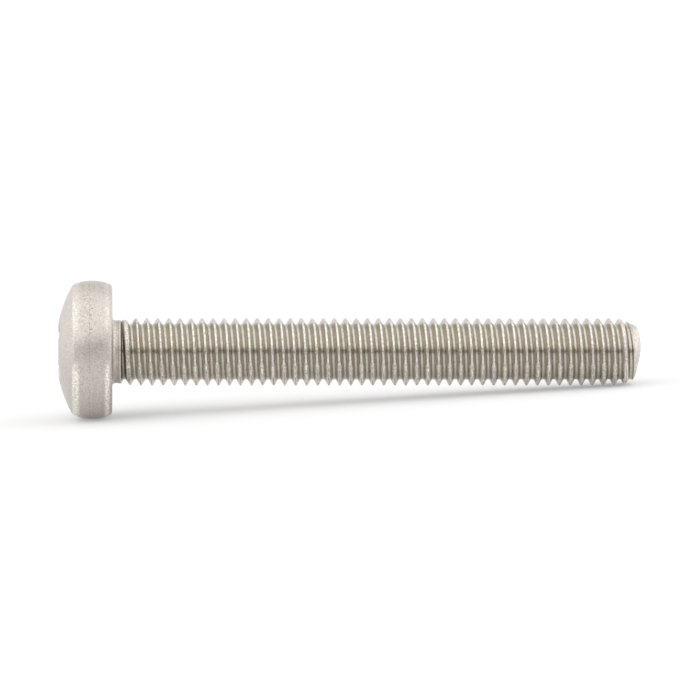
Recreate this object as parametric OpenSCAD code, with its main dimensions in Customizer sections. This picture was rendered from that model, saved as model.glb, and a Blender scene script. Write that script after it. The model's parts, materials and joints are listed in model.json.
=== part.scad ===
// Metric machine screw with a raised pan head, a rolled thread almost up to the head and a
// sheared end. It lies on its side on a flat surface, held up by the rim of its head at one
// end and by its last full thread crest at the other. The axis of its shank runs from the
// head towards +X and leans down to the surface. The origin is where that axis meets the
// bearing face.

/* [Head] */
// Diameter of the head where it is widest
head_d = 10; // [8.5:0.1:12]
// Height of the head, from the bearing face to the flat of the crown
head_h = 3.88; // [3.4:0.01:4.6]
// Diameter of the flat in the middle of the crown
crown_flat_d = 4; // [2:0.1:5.5]
// Radius of the dome between that flat and the rim
dome_r = 9.6; // [8:0.1:14]
// Radius of the barrel curve of the rim
rim_curve_r = 3.6; // [3:0.1:6]
// Height of the widest place of the rim above the bearing face
rim_widest_h = 1.45; // [1:0.05:1.9]
// How far the head was struck off the shank's axis, towards the upper side
head_shift = 0.15; // [0:0.05:0.3]
// Rounding between the dome and the rim
crown_edge_r = 0.4; // [0.1:0.05:0.6]
// Rounding between the rim and the bearing face
seat_edge_r = 0.35; // [0.1:0.05:0.6]

/* [Recess] */
// Distance across the wings of the cross recess at the crown
recess_w = 4.9; // [3.5:0.1:5.5]
// Depth of the wings below the crown
recess_depth = 2.3; // [1.5:0.1:2.6]
// Angle of the first wing from upright, in degrees round the axis
wing_turn = 45; // [0:5:90]
// Thickness of each wing
wing_t = 1; // [0.7:0.05:1.3]
// Slope of the outer edge of a wing, in degrees from the axis
wing_slope = 26.5; // [15:0.5:28]
// Diameter of the round core between the wings at the crown
core_d = 2.6; // [2:0.1:3.2]
// Slope of the wall of the core, in degrees from the axis
core_slope = 6; // [0:0.5:10]
// Slope of the bottom of the core, in degrees from the plane of the crown
bottom_slope = 28; // [15:1:35]

/* [Shank] */
// Length from the bearing face to the farthest point of the end
length = 38.3; // [20:0.1:52]
// Length of the plain neck under the head
neck_len = 0.5; // [0.45:0.05:2]
// How much smaller than the crests the neck is, on the diameter
neck_step = 0.4; // [0.1:0.05:0.7]
// Rounding in the corner between neck and bearing face
neck_fillet_r = 0.25; // [0.1:0.05:0.4]

/* [Thread] */
// Pitch of the right-hand thread
pitch = 0.8; // [0.7:0.05:1]
// Diameter over the crests
crest_d = 4.9; // [4:0.05:6]
// Depth of the grooves below the crests
groove_depth = 0.45; // [0.4:0.01:0.55]
// Width of the flat on a crest
crest_flat = 0.11; // [0.05:0.01:0.15]
// Angle between the two flanks of a groove
flank_angle = 60; // [50:1:62]
// Distance from the bearing face to a crest on the upper side
crest_place = 1.71; // [1.3:0.01:2.1]
// Length over which the grooves deepen after the neck
deepen_len = 0.5; // [0.4:0.05:2]
// Length over which the crests rise after the neck
rise_len = 1.2; // [0.8:0.1:3]
// Length over which the crests fade out before the end
taper_len = 1.7; // [1.2:0.1:4]

/* [Sheared end] */
// How much smaller than the crests the end is, on the diameter
end_step = 0.8; // [0.6:0.05:0.85]
// Length of the smooth end, under the fading crests too
end_len = 1.1; // [0.9:0.1:2]
// Rounding round the end
end_edge_r = 0.65; // [0.1:0.05:0.8]
// Height above the axis of the ridge from which the end falls away, down and up
shear_ridge = 0.65; // [-0.5:0.05:1.2]
// Slope of the end below the ridge, in degrees out of square
shear_slope = 10.4; // [2:0.1:15]
// Slope of the end above the ridge, in degrees out of square
upper_slope = 8; // [1:0.5:12]

/* [Hidden] */
// Sections round one turn of the thread. The lowest facet between two of them is level.
turn_steps = 24;
// Steps along each arc of a section
arc_steps = 8;
// Depth by which pieces reach into each other
bury = 0.1;

crest_r = crest_d / 2;
root_r = crest_r - groove_depth;
neck_r = (crest_d - neck_step) / 2;
end_r = (crest_d - end_step) / 2;
flank_w = groove_depth * tan(flank_angle / 2);
taper_x = length - taper_len;

// Corners of one section of the thread, along the axis from the middle of the crest: the
// start and the end of the groove, then of the crest
corner_x = [
    crest_flat / 2 + flank_w - pitch,
    -crest_flat / 2 - flank_w,
    -crest_flat / 2,
    crest_flat / 2
];
first = ceil(turns_to(bury) * turn_steps - 0.5);
last = floor(turns_to(length - bury - crest_flat / 2 - flank_w) * turn_steps - 0.5);
// The crest radius and the groove radius along the axis, sunk in the neck and in the end
crest_path = [
    [0, neck_r - bury],
    [neck_len - bury, neck_r],
    [neck_len + rise_len, crest_r],
    [taper_x, crest_r],
    [length - end_edge_r, end_r],
    [length, end_r - end_edge_r - bury]
];
root_path = [
    [0, neck_r - bury],
    [neck_len, neck_r - bury],
    [neck_len + deepen_len, root_r],
    [length - end_edge_r, root_r],
    [length, end_r - end_edge_r - bury]
];

// The screw leans until its last full crest on the lower side, or one of the fading crests
// after it, meets the surface that the rim is on
lean = min([
    for (turn = [floor(turns_to(taper_x) - 0.5):floor(last / turn_steps - 0.5)])
        for (c = [2, 3])
            lean_on(crest_x(turn + 0.5) + corner_x[c])
]);

// Place of the crest some turns after the one at crest_place, and the other way round
function crest_x(turns) = crest_place + pitch * turns;
function turns_to(x) = (x - crest_place) / pitch;

// Angle between the axis and a flat surface that touches the rim and a crest facet at x
function lean_on(x) =
    let (
        rim = [rim_widest_h, head_d / 2 - rim_curve_r - head_shift],
        crest = [x, lookup(x, crest_path) * cos(180 / turn_steps)],
        reach = crest[0] + rim[0],
        rise = crest[1] - rim[1]
    )
    asin(rim_curve_r / norm([reach, rise])) - atan2(rise, reach);

// Points on an arc round a centre, from one angle to another
function arc(centre, r, from, to, steps = arc_steps) = [
    for (i = [0:steps])
        let (a = from + (to - from) * i / steps)
        centre + r * [cos(a), sin(a)]
];

// Where a circle of radius r1 round [0, 0] meets a circle of radius r2 round another centre,
// on the side away from the axis
function meet(r1, centre, r2) =
    let (
        d = norm(centre),
        a = (r1 * r1 - r2 * r2 + d * d) / (2 * d),
        h = sqrt(r1 * r1 - a * a),
        along = centre / d
    )
    a * along + h * [along[1], -along[0]];

// Section of the head as [distance from the axis, height above the bearing face]
function head_outline() =
    let (
        flat_r = crown_flat_d / 2,
        dome_z = head_h - sqrt(dome_r * dome_r - flat_r * flat_r),
        rim = [head_d / 2 - rim_curve_r, rim_widest_h],
        crown_edge = [0, dome_z]
            + meet(dome_r - crown_edge_r, rim - [0, dome_z], rim_curve_r - crown_edge_r),
        seat_edge_z = seat_edge_r - rim_widest_h,
        seat_edge_reach = rim_curve_r - seat_edge_r,
        seat_edge = [
            rim[0] + sqrt(seat_edge_reach * seat_edge_reach - seat_edge_z * seat_edge_z),
            seat_edge_r
        ],
        to_dome = atan2(crown_edge[1] - dome_z, crown_edge[0]),
        to_rim = atan2(crown_edge[1] - rim[1], crown_edge[0] - rim[0]),
        to_seat = atan2(seat_edge[1] - rim[1], seat_edge[0] - rim[0])
    )
    concat(
        [[0, 0]],
        arc(seat_edge, seat_edge_r, -90, to_seat),
        arc(rim, rim_curve_r, to_seat, to_rim),
        arc(crown_edge, crown_edge_r, to_rim, to_dome),
        arc([0, dome_z], dome_r, to_dome, acos(flat_r / dome_r)),
        [[0, head_h]]
    );

module on_head_axis() {
    translate([0, 0, head_shift]) children();
}

module head() {
    rotate([0, -90, 0])
        rotate_extrude()
            polygon(head_outline());
}

// Neck with its fillet, ending in a groove flank
module neck() {
    rotate([0, 90, 0])
        rotate_extrude()
            polygon(concat(
                [[0, -bury], [neck_r + neck_fillet_r, -bury]],
                arc([neck_r + neck_fillet_r, neck_fillet_r], neck_fillet_r, -90, -180),
                [[neck_r, neck_len], [root_r - bury, neck_len + flank_w], [0, neck_len + flank_w]]
            ));
}

// Distance from the axis to a wing's outer edge and to the core's wall, at a height
function wing_reach(z) = recess_w / 2 + (z - head_h) * tan(wing_slope);
function core_reach(z) = core_d / 2 + (z - head_h) * tan(core_slope);

// Corner c of section s of the thread's skin
function thread_point(s, c) =
    let (
        turns = (s + 0.5) / turn_steps,
        x = crest_x(turns) + corner_x[c],
        r = lookup(x, c < 2 ? root_path : crest_path),
        a = 90 + 360 * turns
    )
    [x, r * cos(a), r * sin(a)];

// Number of that corner. The last corner of a section is the first one of a turn later.
function thread_index(s, c) =
    c < 4 ? 4 * (s - first) + c : 4 * (s - first + turn_steps);

// Right-hand thread with its core, as one closed skin of narrow facets. Each end is closed
// by a fan round a point on the axis.
module thread() {
    tail = last + turn_steps;
    points = concat(
        [for (s = [first:tail]) for (c = [0:3]) thread_point(s, c)],
        [[0, 0, 0], [length - end_len, 0, 0]]
    );
    front = len(points) - 2;
    back = len(points) - 1;
    sides = [
        for (s = [first:last - 1])
            for (c = [0:3])
                let (
                    here = thread_index(s, c),
                    next = thread_index(s + 1, c),
                    next_right = thread_index(s + 1, c + 1),
                    right = thread_index(s, c + 1)
                )
                each [[here, next_right, next], [here, right, next_right]]
    ];
    front_fan = concat(
        [
            for (s = [first:first + turn_steps - 1])
                [thread_index(s, 0), thread_index(s + 1, 0), front]
        ],
        [for (c = [0:3]) [thread_index(first, c + 1), thread_index(first, c), front]]
    );
    back_fan = concat(
        [for (s = [last:tail - 1]) [thread_index(s + 1, 0), thread_index(s, 0), back]],
        [for (c = [0:3]) [thread_index(last, c), thread_index(last, c + 1), back]]
    );
    polyhedron(points, concat(sides, front_fan, back_fan));
}

// Smooth end with a rounded edge
module smooth_end() {
    start = length - end_len;
    rotate([0, 90, 0])
        rotate_extrude()
            polygon(concat(
                [[0, start - 2 * bury], [end_r - 2 * bury, start - 2 * bury], [end_r, start]],
                arc([end_r - end_edge_r, length - end_edge_r], end_edge_r, 0, 90),
                [[0, length]]
            ));
}

// What the shear takes off the end below the ridge, and above it
module shear() {
    translate([length, 0, shear_ridge]) {
        rotate([0, shear_slope, 0])
            translate([0, -crest_d, -2 * crest_d])
                cube(2 * crest_d);
        rotate([0, -upper_slope, 0])
            translate([0, -crest_d, 0])
                cube(2 * crest_d);
    }
}

// Cross recess, open towards the crown: two crossing blades and a round core
module recess() {
    top = head_h + bury;
    foot = head_h - recess_depth;
    rotate([0, -90, 0]) {
        for (turn = [wing_turn, wing_turn + 90])
            rotate([90, 0, turn])
                linear_extrude(wing_t, center = true)
                    polygon([
                        [-wing_reach(foot), foot],
                        [wing_reach(foot), foot],
                        [wing_reach(top), top],
                        [-wing_reach(top), top]
                    ]);
        rotate_extrude()
            polygon([
                [0, foot - core_reach(foot) * tan(bottom_slope)],
                [core_reach(foot), foot],
                [core_reach(top), top],
                [0, top]
            ]);
    }
}

module screw() {
    color([0.80, 0.78, 0.75])
        rotate([0, lean, 0])
            difference() {
                union() {
                    on_head_axis() head();
                    neck();
                    thread();
                    smooth_end();
                }
                shear();
                on_head_axis() recess();
            }
}

screw();
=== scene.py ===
"""A stainless machine screw with a raised pan head, lying on a white floor.

The screw is modelled in millimetres along +X, with its bearing face at x = 0 and the axis of
its shank on the X axis. It is then leaned and brought to metres, which puts it where the CAD
solid is.
"""

import json
import math

import bpy
from mathutils import Euler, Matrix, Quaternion, Vector


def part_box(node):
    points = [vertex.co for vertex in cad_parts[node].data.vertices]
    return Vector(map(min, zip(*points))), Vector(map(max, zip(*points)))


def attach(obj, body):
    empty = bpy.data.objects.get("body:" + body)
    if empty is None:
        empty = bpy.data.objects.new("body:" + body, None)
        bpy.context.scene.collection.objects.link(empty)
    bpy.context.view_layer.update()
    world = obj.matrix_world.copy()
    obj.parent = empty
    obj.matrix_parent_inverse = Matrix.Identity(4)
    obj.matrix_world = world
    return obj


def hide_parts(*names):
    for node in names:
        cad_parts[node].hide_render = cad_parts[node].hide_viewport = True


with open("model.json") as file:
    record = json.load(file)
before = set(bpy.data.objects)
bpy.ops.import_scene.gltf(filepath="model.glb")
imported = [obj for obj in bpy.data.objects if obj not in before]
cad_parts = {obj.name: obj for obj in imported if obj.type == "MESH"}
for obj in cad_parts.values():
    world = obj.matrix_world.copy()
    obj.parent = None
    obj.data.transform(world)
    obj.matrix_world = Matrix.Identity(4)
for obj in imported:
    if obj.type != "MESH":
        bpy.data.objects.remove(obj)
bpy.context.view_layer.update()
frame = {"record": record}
mounts = {mount["name"]: mount for mount in frame["record"]["mounts"]}

# Driving dimensions, in millimetres along the shank's axis. What the frame holds is read there.
MM = 0.001
shank_axis = Vector(mounts["underhead_seat"]["axis"])
LEAN = math.atan2(-shank_axis.z, shank_axis.x)
CREST_R = mounts["thread"]["dims"]["r_mm"]
solid_low, solid_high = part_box("screw")
HEAD_R = (solid_high[1] - solid_low[1]) / 2 / MM
crown = Vector(mounts["drive_recess"]["pos_m"]) / MM
crown.rotate(Euler((0, -LEAN, 0)))
HEAD_H = -crown.x
HEAD_SHIFT = crown.z
RECESS_R = mounts["drive_recess"]["dims"]["r_mm"]
RECESS_DEPTH = mounts["drive_recess"]["dims"]["length_mm"]

CROWN_FLAT_R = 2.0
DOME_R = 9.6
RIM_CURVE_R = 3.6
RIM_WIDEST = 1.45
CROWN_EDGE_R = 0.4
SEAT_EDGE_R = 0.35

WING_HALF = 0.5
WING_TURN = math.radians(45)
WING_CORNER = 0.12
WING_SLOPE = math.radians(26.5)
WING_DRAFT = math.radians(2)
CORE_R = 1.3
CORE_SLOPE = math.radians(6)
CORE_TIP_R = 0.1
BOTTOM_SLOPE = math.radians(28)
# The mouth of the recess is drawn in all round, over this width and depth
LIP_W = 0.14
LIP_DEPTH = 0.25

LENGTH = 38.3
NECK_R = 2.25
NECK_CUT = 0.42
FILLET_R = 0.25

PITCH = 0.8
ROOT_R = 2.0
FLANK = math.radians(30)
ROOT_HALF = 0.085
CREST_PLACE = 1.71
CREST_ROUND = 0.06
ROOT_ROUND = 0.11
# How far the crests and the groove floors are from the axis, along it
CREST_PATH = [
    (0.35, 2.25),
    (0.5, 2.3),
    (0.9, 2.32),
    (1.12, 2.31),
    (1.3, 2.4),
    (1.7, CREST_R),
    (36.4, CREST_R),
    (37, 2.37),
    (37.35, 2.26),
    (37.65, 2.05),
]
ROOT_PATH = [(0.59, 2.29), (0.7, 2.04), (0.85, ROOT_R)]

END_R = 2.05
END_EDGE_R = 0.65
# The shear left the end wider across than upright, rounder at the sides and sharper below, and
# falling away from a level ridge
END_BULGE = 0.2
SIDE_CREST = 0.8
SIDE_EDGE_R = 0.85
LOWER_EDGE_R = 0.3
RIDGE = 0.65
RIDGE_BLEND = 0.1
LOWER_SLOPE = math.radians(10.4)
UPPER_SLOPE = math.radians(8)
SHEAR_SOFTNESS = 0.02

# The camera, as the photograph was taken, with its picture 700 pixels wide
FOCAL_PIXELS = 4546
PICTURE_PIXELS = 700
SENSOR_W = 36
CAMERA_AZIMUTH = math.radians(-2.95)
CAMERA_ELEVATION = math.radians(5.75)
CAMERA_ROLL = math.radians(-3.338)
CAMERA_AWAY = 330
CAMERA_NEAR = 10
CAMERA_FAR = 20000
AIM_ALONG = 17.24
AIM_ABOVE = 0.128

# Finishes. Scales are patterns to the millimetre, depths and places are in millimetres, and a
# pair of places is where something starts and where it is complete
MATT = (0.57, 0.53, 0.485, 1)
# A bright colour for worn metal, which also paints the reflection on the rim's edge bands
WORN_AND_SHEEN = (0.9, 0.86, 0.79, 1)
MATT_ROUGHNESS = 0.4
GROOVE = (0.53, 0.49, 0.425, 1)
GROOVE_ROUGHNESS = 0.26
CREST = (0.66, 0.63, 0.58, 1)
# Crests on the underside are lighter: a painted highlight
UNDERSIDE_CREST_SHEEN = (0.83, 0.79, 0.74, 1)
ROOT = (0.54, 0.51, 0.46, 1)
THREAD_STARTS = (0.45, 0.75)
HEAD_STARTS = (0.02, 0)
RIM_FROM = (3.5, 4)
# The matt skin reaches this far down from the crests, and farther on the underside, where it is a
# painted highlight, and near both ends of the thread, where the crests are worn blunt
CREST_ZONE = 0.01
BLUNT_AND_SHEEN_CREST_ZONE = 0.18
CREST_SOFTNESS = 0.03
ROOT_ZONE = 0.03
UNDERSIDE = (-0.3, -1)
BLUNT_NEAR_HEAD = (1.7, 1.3)
BLUNT_NEAR_END = (36.5, 37)
# The first groove is darker deep down near the head. It runs towards the tip as it goes down in
# front
FIRST_GROOVE_DARK = 0.42
FIRST_GROOVE_DARK_ALONG = (1, 0.9)
FIRST_GROOVE_DARK_OUT = (2.26, 2.16)
FIRST_GROOVE_RISE = 0.1
# Rolling leaves a broken seam along the middle of the crests
CREST_SEAM = 0.5
CREST_SEAM_W = 0.05
CREST_SEAM_SCALE = 1.7
CREST_SEAM_GAPS = (0.35, 0.5)
# Where the rim's two edges are worn bright, along the axis, and how much so up and down the head.
# The wear is real; its fading, full below, faint above and nothing at mid-height, is a painted
# reflection
CROWN_BAND = (-2.95, -2.8, -2.55, -2.3)
SEAT_BAND = (-0.62, -0.45, -0.3, -0.15)
BANDS_ABOVE = (1.4, 2.6)
BANDS_ABOVE_SHARE = 0.26
BANDS_BELOW = (0, -1.1)
# The sheared end is bright like them
END_WORN = (37.65, 37.8)
END_WORN_SHARE = 0.4
# How much of the brightness is left between the bright specks
WORN_LOW = 0.55
SEAM = -1.64
SEAM_W = 0.05
SEAM_DARK = 0.12
PITTED = (-2.5, -2.1, -1.4, -1)
PITTED_UP = (0.8, 2.4)
PITTED_FRONT = (-0.6, -1.4)
PIT_SCALE = 6
PIT_EDGE = (0.6, 0.68)
PIT_DARK = 0.3
GRAIN_SCALE = 9
GRAIN_DETAIL = 3
GRAIN_ROUGHNESS = 0.6
GRAIN_SPREAD = (0.3, 0.7)
GRAIN_LIGHT = (0.82, 1.16)
GRAIN_DEPTH = 0.02
GRAIN_STRENGTH = 1
GROOVE_GRAIN_STRENGTH = 0.15
SPECK_SPREAD = (0.42, 0.58)
CREST_SPECKS = (-0.12, 0.12)
STREAK_SCALE = 9
STREAK_DEPTH = 0.01
STREAK_STRENGTH = 0.4

# Light. The sky is brighter at both ends of the screw, and dark low in front of it
FLOOR_COLOUR = (0.8, 0.8, 0.8, 1)
FLOOR_GLOW = 0.25
SKY_TOP = (0.93, 0.93, 0.93, 1)
SKY_LOW = (1.05, 1.05, 1.05, 1)
SKY_ENDS = (1.35, 1.35, 1.35, 1)
SKY_FRONT = (0.1, 0.09, 0.08, 1)
SKY_RISE = (0.15, 0.8)
ENDS_FROM = 0.35
ENDS_FULL = 0.75
FRONT_FROM = -0.55
FRONT_FULL = -0.9
FRONT_TOP_LOW = 0.12
FRONT_TOP_HIGH = 0.52
LAMP_FROM = (-0.2, -0.4, 1)
LAMP_STRENGTH = 0.95
LAMP_WIDTH = math.radians(107)
LAMP_HEIGHT = 500
FLOOR_W = 8000

# Steps round the head and the thread, and along the arcs of their sections
HEAD_STEPS = 128
THREAD_STEPS = 80
DOME_ARC_STEPS = 10
RIM_ARC_STEPS = 12
EDGE_ARC_STEPS = 6
CREST_ARC_STEPS = 2
ROOT_ARC_STEPS = 3
# A narrow ring that keeps a flat flat up to the rounding beside it
FLAT_RING = 0.04
MERGE = 0.0005
CUT_MERGE = 0.02
LEAD_TURNS = 2
CORE_STEPS = 48
WING_DEPTHS = (-0.3, 0, 0.06, 0.12, 0.18, LIP_DEPTH, RECESS_DEPTH - WING_CORNER, RECESS_DEPTH)
END_CUT = 38.2
END_RINGS = (0.94, 0.93, 0.9, 0.88, 0.85, 0.8, 0.75, 0.6)
SMOOTH_ANGLE = math.radians(40)


def deselect():
    bpy.ops.object.select_all(action="DESELECT")


def activate(obj):
    """Makes obj the active object, with nothing else selected."""
    deselect()
    obj.select_set(True)
    bpy.context.view_layer.objects.active = obj


def edit(obj):
    """Opens obj in edit mode."""
    activate(obj)
    bpy.ops.object.mode_set(mode="EDIT")


def done():
    bpy.ops.object.mode_set(mode="OBJECT")


def select_points(obj, wanted):
    """Selects the vertices whose place is wanted, and what lies between them."""
    done()
    mesh = obj.data
    mesh.polygons.foreach_set("select", [False] * len(mesh.polygons))
    mesh.edges.foreach_set("select", [False] * len(mesh.edges))
    mesh.vertices.foreach_set("select", [wanted(vertex.co) for vertex in mesh.vertices])
    edit(obj)
    bpy.ops.mesh.select_mode(type="VERT")


def arc(centre, radius, start, end, steps):
    """Points on an arc, as (place along the axis, distance from it). Angles are from outwards."""
    turns = [start + (end - start) * i / steps for i in range(steps + 1)]
    return [
        (centre[0] - radius * math.sin(turn), centre[1] + radius * math.cos(turn))
        for turn in turns
    ]


def draw_line(name, points):
    """Draws a line above the axis by extruding one vertex from point to point."""
    deselect()
    along, out = points[0]
    bpy.ops.mesh.primitive_plane_add(size=1, location=(0, 0, 0))
    obj = bpy.context.object
    obj.name = name
    edit(obj)
    bpy.ops.mesh.merge(type="CENTER")
    bpy.ops.transform.translate(value=(along, 0, out))
    for (last_along, last_out), (along, out) in zip(points, points[1:]):
        bpy.ops.mesh.extrude_vertices_move(
            TRANSFORM_OT_translate={"value": (along - last_along, 0, out - last_out)}
        )
    done()
    return obj


def round_points(obj, wanted, radius, turn, steps):
    """Rounds corners of a drawn line, where it turns by the given angle."""
    select_points(obj, wanted)
    bpy.ops.mesh.bevel(
        offset=radius * math.tan(turn / 2), segments=steps, affect="VERTICES"
    )
    done()


def extrude_ring(along, size):
    """Extrudes the selected ring along the axis, and scales the new ring."""
    bpy.ops.mesh.extrude_edges_move(TRANSFORM_OT_translate={"value": (along, 0, 0)})
    bpy.ops.transform.resize(value=(1, size, size), center_override=(0, 0, 0))


def extrude_path(points):
    """Extrudes the selected ring, which is at the first of some points, through the others."""
    for (last_along, last_out), (along, out) in zip(points, points[1:]):
        extrude_ring(along - last_along, out / last_out)


def meet(radius, centre, other_radius):
    """Where a circle round (0, 0) meets another one, on the side away from the axis."""
    gap = math.hypot(*centre)
    reach = (radius**2 - other_radius**2 + gap**2) / (2 * gap)
    side = math.sqrt(radius**2 - reach**2)
    return (
        (reach * centre[0] + side * centre[1]) / gap,
        (reach * centre[1] - side * centre[0]) / gap,
    )


def head_outline():
    """Half of the head's section: crown flat, dome, barrel rim and bearing face."""
    dome = (math.sqrt(DOME_R**2 - CROWN_FLAT_R**2) - HEAD_H, 0)
    rim = (-RIM_WIDEST, HEAD_R - RIM_CURVE_R)
    to_rim = (rim[0] - dome[0], rim[1])
    edge = meet(DOME_R - CROWN_EDGE_R, to_rim, RIM_CURVE_R - CROWN_EDGE_R)
    edge = (edge[0] + dome[0], edge[1])
    seat_drop = RIM_WIDEST - SEAT_EDGE_R
    seat = (
        -SEAT_EDGE_R,
        rim[1] + math.sqrt((RIM_CURVE_R - SEAT_EDGE_R) ** 2 - seat_drop**2),
    )

    def angle(centre, point):
        return math.atan2(centre[0] - point[0], point[1] - centre[1])

    dome_start = math.acos(CROWN_FLAT_R / DOME_R)
    dome_end = angle(dome, edge)
    rim_start = angle(rim, edge)
    rim_end = angle(rim, seat)
    return [
        (-HEAD_H, 0),
        (-HEAD_H, CROWN_FLAT_R - FLAT_RING),
        *arc(dome, DOME_R, dome_start, dome_end, DOME_ARC_STEPS),
        *arc(edge, CROWN_EDGE_R, dome_end, rim_start, EDGE_ARC_STEPS)[1:],
        *arc(rim, RIM_CURVE_R, rim_start, rim_end, RIM_ARC_STEPS)[1:],
        *arc(seat, SEAT_EDGE_R, rim_end, -math.pi / 2, EDGE_ARC_STEPS)[1:],
        (0, seat[1] - FLAT_RING),
        (0, 0),
    ]


def spin_head():
    """Turns the outline of the head round the head's own axis, which lies above the shank's."""
    outline = [(along, out + HEAD_SHIFT) for along, out in head_outline()]
    head = draw_line("head", outline)
    edit(head)
    bpy.ops.mesh.select_all(action="SELECT")
    bpy.ops.mesh.spin(
        steps=HEAD_STEPS, angle=2 * math.pi, center=(0, 0, HEAD_SHIFT), axis=(1, 0, 0)
    )
    bpy.ops.mesh.select_all(action="SELECT")
    bpy.ops.mesh.remove_doubles(threshold=MERGE)
    bpy.ops.mesh.normals_make_consistent(inside=False)
    done()
    return head


def thread_line():
    """One groove with half a crest on either side, with its corners rounded."""
    depth = CREST_R - ROOT_R
    crest_half = ROOT_HALF + depth * math.tan(FLANK)
    low = ROOT_ROUND * math.tan(FLANK) * math.cos(FLANK) + FLAT_RING
    high = depth - CREST_ROUND * math.tan(FLANK) * math.cos(FLANK) - FLAT_RING
    half = [
        (ROOT_HALF, ROOT_R),
        (ROOT_HALF + low * math.tan(FLANK), ROOT_R + low),
        (ROOT_HALF + high * math.tan(FLANK), ROOT_R + high),
        (crest_half, CREST_R),
        (PITCH / 2, CREST_R),
    ]
    first = CREST_PLACE - PITCH * (LEAD_TURNS + 0.5)
    points = [(-along, out) for along, out in reversed(half)] + half
    line = draw_line("thread", [(first + along, out) for along, out in points])
    round_points(
        line, lambda co: co.z < ROOT_R + MERGE, ROOT_ROUND, 2 * FLANK, ROOT_ARC_STEPS
    )
    round_points(
        line,
        lambda co: co.z > CREST_R - MERGE and abs(co.x - first) < crest_half + MERGE,
        CREST_ROUND,
        2 * FLANK,
        CREST_ARC_STEPS,
    )
    return line


def turn_thread():
    """Screws the line of one groove along the shank."""
    thread = thread_line()
    turns = thread.modifiers.new("turns", "SCREW")
    turns.axis = "X"
    turns.screw_offset = PITCH
    turns.iterations = math.ceil(LENGTH / PITCH) + 2 * LEAD_TURNS
    turns.steps = THREAD_STEPS
    turns.render_steps = THREAD_STEPS
    activate(thread)
    bpy.ops.object.modifier_apply(modifier=turns.name)
    return thread


def lookup(path, along):
    """Height of a path of (place, height) points, level beyond its ends."""
    if along <= path[0][0]:
        return path[0][1]
    for (start, low), (end, high) in zip(path, path[1:]):
        if along < end:
            return low + (high - low) * (along - start) / (end - start)
    return path[-1][1]


def crest_limit(along, side=0, up=1):
    """Distance of the crests from the axis, on the side of it that (side, up) points to."""
    crest = lookup(CREST_PATH, along)
    if along < LENGTH / 2:
        return crest
    across = side**2 / (side**2 + up**2)
    fade_from, fade_to = CREST_PATH[-2][0], CREST_PATH[-1][0]
    unfaded = min(max((fade_to - along) / (fade_to - fade_from), 0), 1)
    crest += (CREST_R - crest) * across * SIDE_CREST * unfaded
    upright_edge = END_EDGE_R if up > 0 else LOWER_EDGE_R
    edge = upright_edge + (SIDE_EDGE_R - upright_edge) * across
    end = END_R + END_BULGE * across
    past = along - (LENGTH - edge)
    if past > 0:
        end += math.sqrt(max(edge**2 - past**2, 0)) - edge
    return end if along > CREST_PATH[-1][0] else max(crest, end)


def fade_thread(thread):
    """Fills the crests and the grooves only as far as they are rolled near the ends."""
    depth = CREST_R - ROOT_R
    for vertex in thread.data.vertices:
        along, side, up = vertex.co
        turns = math.atan2(up, side) / (2 * math.pi) - 0.25
        from_groove = ((along - CREST_PLACE) / PITCH - turns) % 1 - 0.5
        share = (math.hypot(side, up) - ROOT_R) / depth
        if abs(from_groove) < 0.5 - MERGE:
            lost = min(CREST_R - crest_limit(along, side, up), depth)
            along -= math.copysign(share * lost * math.tan(FLANK), from_groove)
        crest = crest_limit(along, side, up)
        root = min(lookup(ROOT_PATH, along), crest)
        size = (root + share * (crest - root)) / math.hypot(side, up)
        vertex.co = (along, side * size, up * size)


def trim(obj, along, keep):
    """Cuts the thread square at a place along it, and keeps the side that keep points to."""
    edit(obj)
    bpy.ops.mesh.select_all(action="SELECT")
    bpy.ops.mesh.bisect(plane_co=(along, 0, 0), plane_no=(keep, 0, 0), clear_inner=True)
    bpy.ops.mesh.remove_doubles(threshold=CUT_MERGE)
    done()


def select_open_ring(obj, wanted):
    """Selects the open edges whose ends are where wanted says, and leaves obj in edit mode."""
    edit(obj)
    bpy.ops.mesh.select_mode(type="EDGE")
    bpy.ops.mesh.select_all(action="DESELECT")
    bpy.ops.mesh.select_non_manifold(
        use_wire=False, use_multi_face=False, use_non_contiguous=False, use_verts=False
    )
    done()
    points = obj.data.vertices
    ring = [
        edge
        for edge in obj.data.edges
        if edge.select and all(wanted(points[end].co) for end in edge.vertices)
    ]
    for part in (obj.data.edges, points):
        part.foreach_set("select", [False] * len(part))
    for edge in ring:
        edge.select = True
        for end in edge.vertices:
            points[end].select = True
    edit(obj)


def close_end(shank):
    """Rounds the end off and closes it."""
    select_open_ring(shank, lambda co: co.x > LENGTH / 2)
    centre = (LENGTH - END_EDGE_R, END_R - END_EDGE_R)
    start = -math.asin((END_CUT - centre[0]) / END_EDGE_R)
    extrude_path(arc(centre, END_EDGE_R, start, -math.pi / 2, EDGE_ARC_STEPS))
    for size in END_RINGS:
        extrude_ring(0, size)
    bpy.ops.mesh.extrude_edges_move()
    bpy.ops.mesh.merge(type="CENTER")
    done()


def draw_neck(shank):
    """Draws the neck out of the thread, up to the end of its fillet on the bearing face."""
    select_open_ring(shank, lambda co: co.x < LENGTH / 2)
    centre = (FILLET_R, NECK_R + FILLET_R)
    fillet = arc(centre, FILLET_R, math.pi, math.pi / 2, EDGE_ARC_STEPS)
    brim = (FLAT_RING, centre[1] + FLAT_RING)
    extrude_path([(NECK_CUT, NECK_R), *fillet, brim])
    done()


def shear_end(shank):
    """Presses the end in to the two slanting faces of the shear."""
    for vertex in shank.data.vertices:
        along, _, up = vertex.co
        if along < LENGTH - 2 * END_EDGE_R:
            continue
        slope = UPPER_SLOPE if up > RIDGE else LOWER_SLOPE
        fall = (math.hypot(up - RIDGE, RIDGE_BLEND) - RIDGE_BLEND) * math.tan(slope)
        over = along - LENGTH + fall
        vertex.co.x -= SHEAR_SOFTNESS * math.log1p(math.exp(over / SHEAR_SOFTNESS))


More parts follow.
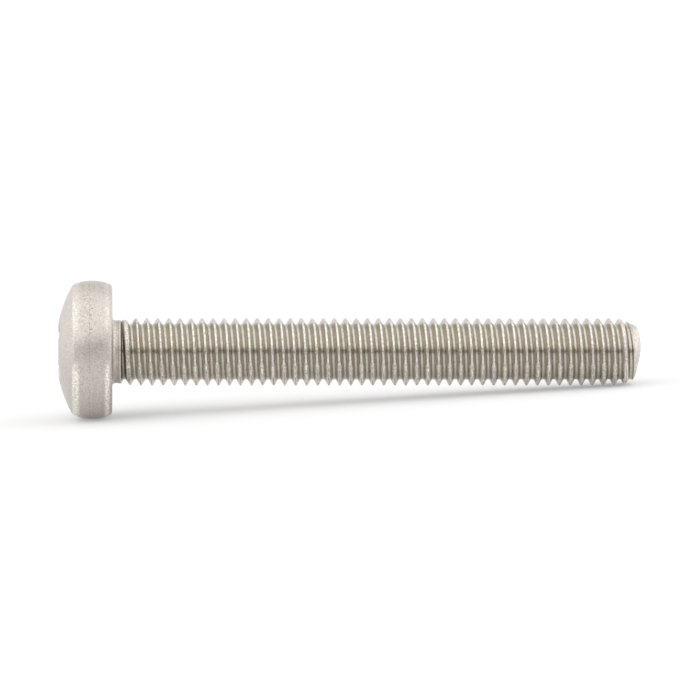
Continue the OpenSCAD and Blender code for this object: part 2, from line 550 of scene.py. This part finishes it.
def add_rings(thread):
    """Adds rings of points where the groove starts."""
    edit(thread)
    for along, _ in ROOT_PATH:
        bpy.ops.mesh.select_all(action="SELECT")
        bpy.ops.mesh.bisect(plane_co=(along, 0, 0), plane_no=(1, 0, 0))
    done()


def make_shank():
    """The thread with its neck and its end, open under the head."""
    shank = turn_thread()
    add_rings(shank)
    fade_thread(shank)
    edit(shank)
    bpy.ops.mesh.select_all(action="SELECT")
    bpy.ops.mesh.remove_doubles(threshold=MERGE)
    done()
    trim(shank, NECK_CUT, 1)
    trim(shank, END_CUT, -1)
    close_end(shank)
    draw_neck(shank)
    shear_end(shank)
    return shank


def join_head(head, shank):
    """Opens the head's bearing face, and bridges it to the neck."""
    select_points(
        head, lambda co: co.x > -MERGE and math.hypot(co.y, co.z - HEAD_SHIFT) < MERGE
    )
    bpy.ops.mesh.delete(type="VERT")
    done()
    activate(head)
    shank.select_set(True)
    bpy.ops.object.join()
    select_open_ring(head, lambda co: True)
    bpy.ops.mesh.bridge_edge_loops()
    ring = NECK_R + FILLET_R + FLAT_RING
    select_points(
        head,
        lambda co: abs(co.x - FLAT_RING) < MERGE and math.hypot(co.y, co.z) > ring - MERGE,
    )
    bpy.ops.transform.translate(value=(-FLAT_RING, 0, 0))
    bpy.ops.mesh.select_all(action="SELECT")
    bpy.ops.mesh.normals_make_consistent(inside=False)
    done()
    return head


def lay_down(screw):
    """Leans the screw as it lies, and brings it from millimetres to metres."""
    activate(screw)
    screw.rotation_euler = (0, LEAN, 0)
    screw.scale = (MM, MM, MM)
    bpy.ops.object.transform_apply(location=True, rotation=True, scale=True)
    bpy.ops.object.shade_smooth_by_angle(angle=SMOOTH_ANGLE)
    screw.name = "machine_screw"


def stack(obj, sections):
    """Extrudes a flat start face from section to section: place, and size across Y and Z."""
    edit(obj)
    bpy.ops.mesh.select_all(action="SELECT")
    last_along, *last_size = sections[0]
    bpy.ops.transform.translate(value=(last_along, 0, HEAD_SHIFT))
    bpy.ops.transform.resize(value=(1, *last_size), center_override=(last_along, 0, HEAD_SHIFT))
    for along, *size in sections[1:]:
        bpy.ops.mesh.extrude_region_move(
            TRANSFORM_OT_translate={"value": (along - last_along, 0, 0)}
        )
        bpy.ops.transform.resize(
            value=(1, size[0] / last_size[0], size[1] / last_size[1]),
            center_override=(along, 0, HEAD_SHIFT),
        )
        last_along = along
        last_size = size
    bpy.ops.mesh.select_all(action="SELECT")
    bpy.ops.mesh.normals_make_consistent(inside=False)
    done()
    return obj


def lip(depth):
    """How far the mouth of the recess is drawn in at a depth below the crown."""
    return LIP_W * max(1 - depth / LIP_DEPTH, 0) ** 2


def wing_sections():
    """Sections of a blade: place along the axis, half its width and half its thickness."""
    sections = []
    for depth in WING_DEPTHS:
        rounding = max(depth - RECESS_DEPTH + WING_CORNER, 0)
        half_w = RECESS_R - depth * math.tan(WING_SLOPE) + lip(depth) - rounding
        half_t = WING_HALF - depth * math.tan(WING_DRAFT) + lip(depth) - rounding / 2
        sections.append((depth - HEAD_H, half_w, half_t))
    return sections


def make_wings(turned):
    """One of the two crossing blades of the recess, as a solid to cut with."""
    deselect()
    bpy.ops.mesh.primitive_plane_add(size=2, location=(0, 0, 0), rotation=(0, math.pi / 2, 0))
    blade = bpy.context.object
    bpy.ops.object.transform_apply(rotation=True)
    edit(blade)
    bpy.ops.mesh.bevel(offset=WING_CORNER, segments=EDGE_ARC_STEPS, affect="VERTICES")
    done()
    sections = wing_sections()
    if turned:
        sections = [(along, half_t, half_w) for along, half_w, half_t in sections]
    return stack(blade, sections)


def make_core():
    """The round core of the recess with its conical bottom, as a solid to cut with."""
    deselect()
    bpy.ops.mesh.primitive_circle_add(
        vertices=CORE_STEPS,
        radius=1,
        fill_type="NGON",
        location=(0, 0, 0),
        rotation=(0, math.pi / 2, 0),
    )
    core = bpy.context.object
    bpy.ops.object.transform_apply(rotation=True)
    sections = []
    for depth in WING_DEPTHS:
        out = CORE_R - depth * math.tan(CORE_SLOPE) + lip(depth)
        sections.append((depth - HEAD_H, out, out))
    along, out, _ = sections[-1]
    bottom = along + (out - CORE_TIP_R) * math.tan(BOTTOM_SLOPE)
    sections.append((bottom, CORE_TIP_R, CORE_TIP_R))
    return stack(core, sections)


def combine(target, tool, operation):
    """Adds a solid to another or cuts it out, and removes it."""
    change = target.modifiers.new(operation.lower(), "BOOLEAN")
    change.operation = operation
    change.object = tool
    change.solver = "MANIFOLD"
    activate(target)
    bpy.ops.object.modifier_apply(modifier=change.name)
    deselect()
    tool.select_set(True)
    bpy.ops.object.delete()
    return target


def cut_recess(head):
    """Cuts the cross recess into the crown."""
    cutter = make_wings(False)
    combine(cutter, make_wings(True), "UNION")
    combine(cutter, make_core(), "UNION")
    edit(cutter)
    bpy.ops.mesh.select_all(action="SELECT")
    bpy.ops.transform.rotate(
        value=WING_TURN, orient_axis="X", center_override=(0, 0, HEAD_SHIFT)
    )
    done()
    combine(head, cutter, "DIFFERENCE")
    return head


class Graph:
    """The nodes of one material or of the world, added one by one."""

    def __init__(self, owner):
        owner.use_nodes = True
        self.nodes = owner.node_tree.nodes
        self.links = owner.node_tree.links

    def put(self, socket, value):
        if isinstance(value, bpy.types.NodeSocket):
            self.links.new(value, socket)
        else:
            socket.default_value = value

    def math(self, operation, *values):
        node = self.nodes.new("ShaderNodeMath")
        node.operation = operation
        for socket, value in zip(node.inputs, values):
            self.put(socket, value)
        return node.outputs[0]

    def times(self, *values, add=0):
        """The product of the values, with add added to it."""
        product = values[0]
        for value in values[1:-1]:
            product = self.math("MULTIPLY", product, value)
        return self.math("MULTIPLY_ADD", product, values[-1], add)

    def plus(self, first, second):
        return self.math("ADD", first, second)

    def minus(self, first, second):
        return self.math("SUBTRACT", first, second)

    def ramp(self, value, start, end, low=0, high=1):
        """Follows value smoothly from low at start to high at end."""
        node = self.nodes.new("ShaderNodeMapRange")
        node.interpolation_type = "SMOOTHSTEP"
        for name, given in zip(
            ("Value", "From Min", "From Max", "To Min", "To Max"), (value, start, end, low, high)
        ):
            self.put(node.inputs[name], given)
        return node.outputs[0]

    def band(self, value, steps):
        """1 between the middle two steps, and 0 outside the outer two."""
        rise, top, last, fall = steps
        return self.times(self.ramp(value, rise, top), self.ramp(value, fall, last))

    def scale(self, vector, factor):
        node = self.nodes.new("ShaderNodeVectorMath")
        node.operation = "SCALE"
        self.put(node.inputs[0], vector)
        self.put(node.inputs["Scale"], factor)
        return node.outputs[0]

    def blend(self, factor, first, second):
        """Mixes two colours, whose sockets follow those for numbers and vectors."""
        node = self.nodes.new("ShaderNodeMix")
        node.data_type = "RGBA"
        self.put(node.inputs[0], factor)
        self.put(node.inputs[6], first)
        self.put(node.inputs[7], second)
        return node.outputs[2]

    def split(self, vector):
        node = self.nodes.new("ShaderNodeSeparateXYZ")
        self.put(node.inputs[0], vector)
        return node.outputs[0], node.outputs[1], node.outputs[2]

    def join(self, *values):
        node = self.nodes.new("ShaderNodeCombineXYZ")
        for socket, value in zip(node.inputs, values):
            self.put(socket, value)
        return node.outputs[0]

    def noise(self, vector, scale, detail=2, roughness=0.5):
        node = self.nodes.new("ShaderNodeTexNoise")
        self.put(node.inputs["Vector"], vector)
        self.put(node.inputs["Scale"], scale)
        self.put(node.inputs["Detail"], detail)
        self.put(node.inputs["Roughness"], roughness)
        return node.outputs[0]

    def bump(self, height, distance, strength=1, normal=None):
        node = self.nodes.new("ShaderNodeBump")
        self.put(node.inputs["Height"], height)
        self.put(node.inputs["Distance"], distance)
        self.put(node.inputs["Strength"], strength)
        if normal is not None:
            self.put(node.inputs["Normal"], normal)
        return node.outputs[0]


def make_steel():
    """Stainless steel: tumbled matt on the head and the crests, smoother in the grooves."""
    steel = bpy.data.materials.new("stainless_steel")
    graph = Graph(steel)
    shader = graph.nodes["Principled BSDF"]
    shader.inputs["Metallic"].default_value = 1

    place = graph.nodes.new("ShaderNodeTexCoord")
    along_axis = graph.nodes.new("ShaderNodeMapping")
    along_axis.inputs["Rotation"].default_value = (0, -LEAN, 0)
    along_axis.inputs["Scale"].default_value = (1 / MM, 1 / MM, 1 / MM)
    graph.put(along_axis.inputs["Vector"], place.outputs["Object"])
    spot = along_axis.outputs[0]
    along, side, up = graph.split(spot)
    out = graph.math("SQRT", graph.times(side, side, add=graph.times(up, up)))
    on_thread = graph.ramp(along, *THREAD_STARTS)
    on_head = graph.ramp(along, *HEAD_STARTS)

    grain = graph.noise(spot, GRAIN_SCALE, GRAIN_DETAIL, GRAIN_ROUGHNESS)
    specks = graph.ramp(grain, *SPECK_SPREAD)

    # On the underside the crest colour is a painted highlight, lighter and reaching farther down;
    # near the ends the crests are worn blunt
    underside = graph.ramp(up, *UNDERSIDE)
    blunt = graph.plus(graph.ramp(along, *BLUNT_NEAR_HEAD), graph.ramp(along, *BLUNT_NEAR_END))
    blunt_and_sheen = graph.math("MAXIMUM", underside, blunt)
    reach = graph.ramp(blunt_and_sheen, 0, 1, CREST_ZONE, BLUNT_AND_SHEEN_CREST_ZONE)
    crest_start = graph.minus(CREST_R - CREST_SOFTNESS, reach)
    crest_full = graph.plus(crest_start, CREST_SOFTNESS)
    crest = graph.times(on_thread, graph.ramp(out, crest_start, crest_full))
    root = graph.times(on_thread, graph.ramp(out, ROOT_R + ROOT_ZONE, ROOT_R))
    groove = graph.minus(on_thread, graph.times(crest, blunt_and_sheen))
    off_end = graph.ramp(along, *reversed(END_WORN))
    crest = graph.times(crest, off_end)
    root = graph.times(root, off_end)
    groove = graph.times(groove, off_end)

    # The rim's edges are worn bright, and the way the bands fade up and down the head is a
    # painted reflection
    bands = graph.plus(graph.band(along, CROWN_BAND), graph.band(along, SEAT_BAND))
    above = graph.ramp(up, *BANDS_ABOVE, 0, BANDS_ABOVE_SHARE)
    below = graph.ramp(up, *BANDS_BELOW)
    bands = graph.times(on_head, bands, graph.plus(above, below), graph.ramp(out, *RIM_FROM))
    worn_and_sheen = graph.plus(bands, graph.times(graph.ramp(along, *END_WORN), END_WORN_SHARE))
    worn_and_sheen = graph.times(worn_and_sheen, graph.ramp(specks, 0, 1, WORN_LOW, 1))

    shade = graph.blend(worn_and_sheen, MATT, WORN_AND_SHEEN)
    shade = graph.blend(groove, shade, GROOVE)
    # The lighter crest colour on the underside is a painted highlight
    shade = graph.blend(crest, shade, graph.blend(underside, CREST, UNDERSIDE_CREST_SHEEN))
    shade = graph.blend(root, shade, ROOT)

    seam = graph.times(graph.band(along, (SEAM - SEAM_W, SEAM, SEAM, SEAM + SEAM_W)), on_head)
    pits = graph.ramp(graph.noise(spot, PIT_SCALE, 1), *PIT_EDGE)
    pitted = graph.times(graph.ramp(up, *PITTED_UP), graph.ramp(side, *PITTED_FRONT))
    pits = graph.times(pits, graph.band(along, PITTED), pitted)
    # The first groove is darker deep down near the head
    from_neck = graph.times(up, FIRST_GROOVE_RISE, add=along)
    first_groove_dark = graph.times(graph.ramp(from_neck, *FIRST_GROOVE_DARK_ALONG), graph.ramp(out, *FIRST_GROOVE_DARK_OUT))
    first_groove_dark = graph.times(first_groove_dark, on_thread)

    # Turns along the thread, counted so that its crests are at the halves
    turns = graph.times(graph.math("ARCTAN2", up, side), -1 / (2 * math.pi), add=0.75)
    turns = graph.times(graph.minus(along, CREST_PLACE), 1 / PITCH, add=turns)
    from_crest = graph.math("ABSOLUTE", graph.minus(graph.math("FRACT", turns), 0.5))
    crest_seam = graph.times(crest, underside, graph.ramp(from_crest, CREST_SEAM_W / PITCH, 0))
    pieces = graph.ramp(graph.noise(spot, CREST_SEAM_SCALE, 1), *CREST_SEAM_GAPS)
    crest_seam = graph.times(crest_seam, pieces)

    dark = graph.plus(graph.times(seam, SEAM_DARK), graph.times(pits, PIT_DARK))
    dark = graph.plus(dark, graph.times(first_groove_dark, FIRST_GROOVE_DARK))
    dark = graph.plus(dark, graph.times(crest_seam, CREST_SEAM))
    light = graph.ramp(grain, *GRAIN_SPREAD, *GRAIN_LIGHT)
    light = graph.plus(light, graph.times(crest, graph.ramp(specks, 0, 1, *CREST_SPECKS)))
    light = graph.minus(light, dark)
    graph.put(shader.inputs["Base Color"], graph.scale(shade, light))
    roughness = graph.ramp(groove, 0, 1, MATT_ROUGHNESS, GROOVE_ROUGHNESS)
    graph.put(shader.inputs["Roughness"], roughness)

    rolled = graph.join(
        graph.times(along, STREAK_SCALE), graph.times(out, STREAK_SCALE), graph.plus(side, up)
    )
    grain_strength = graph.ramp(groove, 0, 1, GRAIN_STRENGTH, GROOVE_GRAIN_STRENGTH)
    normal = graph.bump(grain, GRAIN_DEPTH * MM, grain_strength)
    streak = graph.noise(rolled, 1)
    streak_strength = graph.times(groove, STREAK_STRENGTH)
    normal = graph.bump(streak, STREAK_DEPTH * MM, streak_strength, normal)
    graph.put(shader.inputs["Normal"], normal)
    return steel


def make_floor(height):
    """A white floor, of which a share glows evenly for the camera and for what mirrors it."""
    deselect()
    bpy.ops.mesh.primitive_plane_add(size=FLOOR_W * MM, location=(0, 0, height))
    floor = bpy.context.object
    floor.name = "floor"
    paint = bpy.data.materials.new("white_floor")
    graph = Graph(paint)
    shader = graph.nodes["Principled BSDF"]
    shader.inputs["Base Color"].default_value = FLOOR_COLOUR
    shader.inputs["Roughness"].default_value = 1
    shader.inputs["Specular IOR Level"].default_value = 0
    glow = graph.nodes.new("ShaderNodeEmission")
    path = graph.nodes.new("ShaderNodeLightPath").outputs
    seen = graph.math("MAXIMUM", path["Is Camera Ray"], path["Is Glossy Ray"])
    seen = graph.math("MAXIMUM", seen, path["Is Transmission Ray"])
    mix = graph.nodes.new("ShaderNodeMixShader")
    graph.put(mix.inputs[0], graph.times(seen, FLOOR_GLOW))
    graph.put(mix.inputs[1], shader.outputs[0])
    graph.put(mix.inputs[2], glow.outputs[0])
    graph.put(graph.nodes["Material Output"].inputs["Surface"], mix.outputs[0])
    floor.data.materials.append(paint)


def make_lights():
    """A bright sky, dark low in front of the screw, and one broad lamp overhead."""
    world = bpy.data.worlds.new("studio")
    bpy.context.scene.world = world
    graph = Graph(world)
    ray = graph.nodes.new("ShaderNodeTexCoord")
    along, back, high = graph.split(ray.outputs["Generated"])
    in_front = graph.ramp(back, FRONT_FROM, FRONT_FULL)
    low = graph.ramp(high, FRONT_TOP_LOW, FRONT_TOP_HIGH, 1, 0)
    at_ends = graph.ramp(graph.math("ABSOLUTE", along), ENDS_FROM, ENDS_FULL)
    sky = graph.blend(graph.ramp(high, *SKY_RISE), SKY_LOW, SKY_TOP)
    sky = graph.blend(at_ends, sky, SKY_ENDS)
    sky = graph.blend(graph.times(in_front, low), sky, SKY_FRONT)
    background = graph.nodes["Background"]
    graph.put(background.inputs["Color"], sky)
    background.inputs["Strength"].default_value = 1

    bpy.ops.object.light_add(type="SUN", location=(0, 0, LAMP_HEIGHT * MM))
    lamp = bpy.context.object
    lamp.name = "softbox"
    lamp.rotation_mode = "QUATERNION"
    lamp.rotation_quaternion = Vector(LAMP_FROM).to_track_quat("Z", "Y")
    lamp.data.energy = LAMP_STRENGTH
    lamp.data.angle = LAMP_WIDTH


def make_camera():
    """A long lens, standing where the photograph was taken from."""
    back = Vector((
        math.sin(CAMERA_AZIMUTH) * math.cos(CAMERA_ELEVATION),
        -math.cos(CAMERA_AZIMUTH) * math.cos(CAMERA_ELEVATION),
        math.sin(CAMERA_ELEVATION),
    ))
    turn = (-back).to_track_quat("-Z", "Y") @ Quaternion((0, 0, 1), CAMERA_ROLL)
    above = turn @ Vector((0, 1, 0))
    aim = AIM_ALONG * shank_axis + AIM_ABOVE * above
    data = bpy.data.cameras.new("camera")
    camera = bpy.data.objects.new("camera", data)
    bpy.context.collection.objects.link(camera)
    camera.location = (aim + CAMERA_AWAY * back) * MM
    camera.rotation_mode = "QUATERNION"
    camera.rotation_quaternion = turn
    data.sensor_width = SENSOR_W
    data.lens = FOCAL_PIXELS * SENSOR_W / PICTURE_PIXELS
    data.clip_start = CAMERA_NEAR * MM
    data.clip_end = CAMERA_FAR * MM
    bpy.context.scene.camera = camera


screw = join_head(cut_recess(spin_head()), make_shank())
lay_down(screw)
screw.data.materials.clear()
screw.data.materials.append(make_steel())
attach(screw, "root")
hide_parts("screw")
lowest = min((screw.matrix_world @ vertex.co).z for vertex in screw.data.vertices)
make_floor(lowest)
make_lights()
make_camera()
bpy.context.scene.view_settings.view_transform = "Standard"
